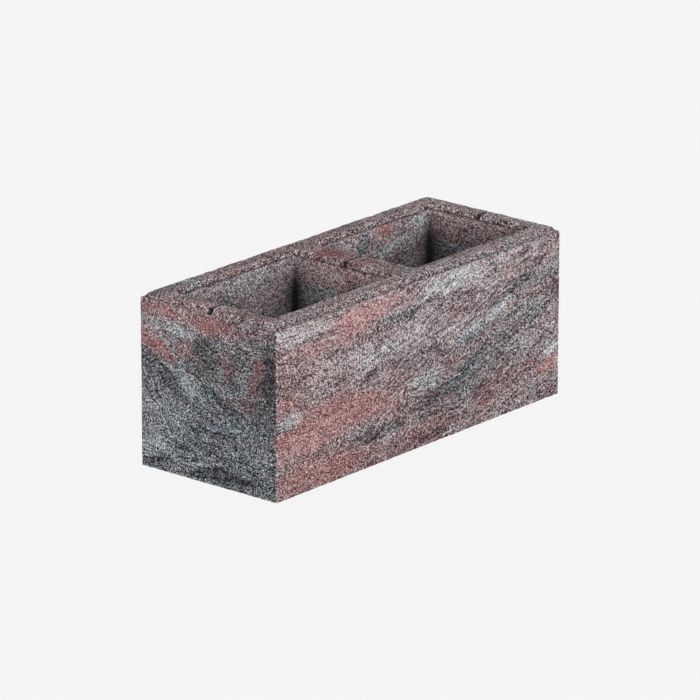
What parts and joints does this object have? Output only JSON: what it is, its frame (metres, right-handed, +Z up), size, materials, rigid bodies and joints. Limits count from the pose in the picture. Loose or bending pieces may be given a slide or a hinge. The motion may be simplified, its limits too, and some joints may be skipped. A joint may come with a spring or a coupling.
{
  "type": "hollow concrete wall block",
  "caption": "Hollow concrete wall block with open vertical cores, bevelled top edges and a marbled red, grey and slate fair face, laid in walls as a masonry unit.",
  "frame": {"origin": "middle of the underside, on the floor that the block stands on", "axes": "+X along the block's length, +Y across its width, +Z up through the cores to the bevelled top"},
  "size_m": [0.5, 0.2, 0.203],
  "materials": {
    "marbled_concrete": "pressed concrete, through-coloured in brick red, light grey and slate, with a fine sandy grain"
  },
  "bodies": {
    "root": {"concrete_block": "marbled_concrete"}
  },
  "joints": []
}
